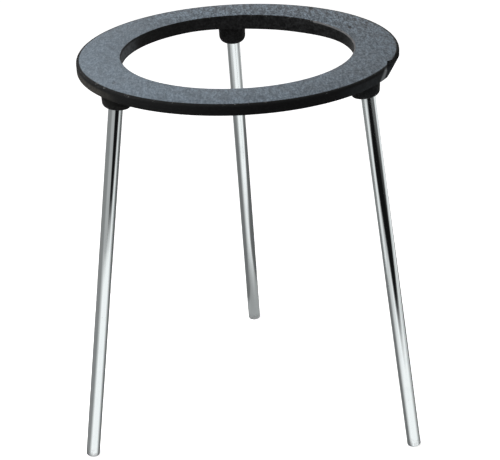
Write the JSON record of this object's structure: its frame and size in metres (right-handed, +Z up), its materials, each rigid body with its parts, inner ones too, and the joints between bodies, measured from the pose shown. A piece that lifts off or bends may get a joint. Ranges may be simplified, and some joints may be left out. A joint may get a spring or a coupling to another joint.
{
  "type": "lab tripod stand",
  "caption": "Laboratory tripod stand: a flat round cast ring with a wide opening, on splayed plated rod legs screwed into bosses under the ring.",
  "frame": {"origin": "on the ring's axis at bench level, midway between the feet", "axes": "+Z up along the ring's axis, +Y towards the rear leg, +X to the right with the other two legs in front"},
  "size_m": [0.1978, 0.2041, 0.23],
  "materials": {
    "ring": "semi-gloss black stove enamel with a fine hammered grain over cast iron",
    "legs": "bright plated steel rod"
  },
  "bodies": {
    "root": {"ring": "ring", "front_left_leg": "legs", "front_right_leg": "legs", "rear_leg": "legs"}
  },
  "joints": []
}
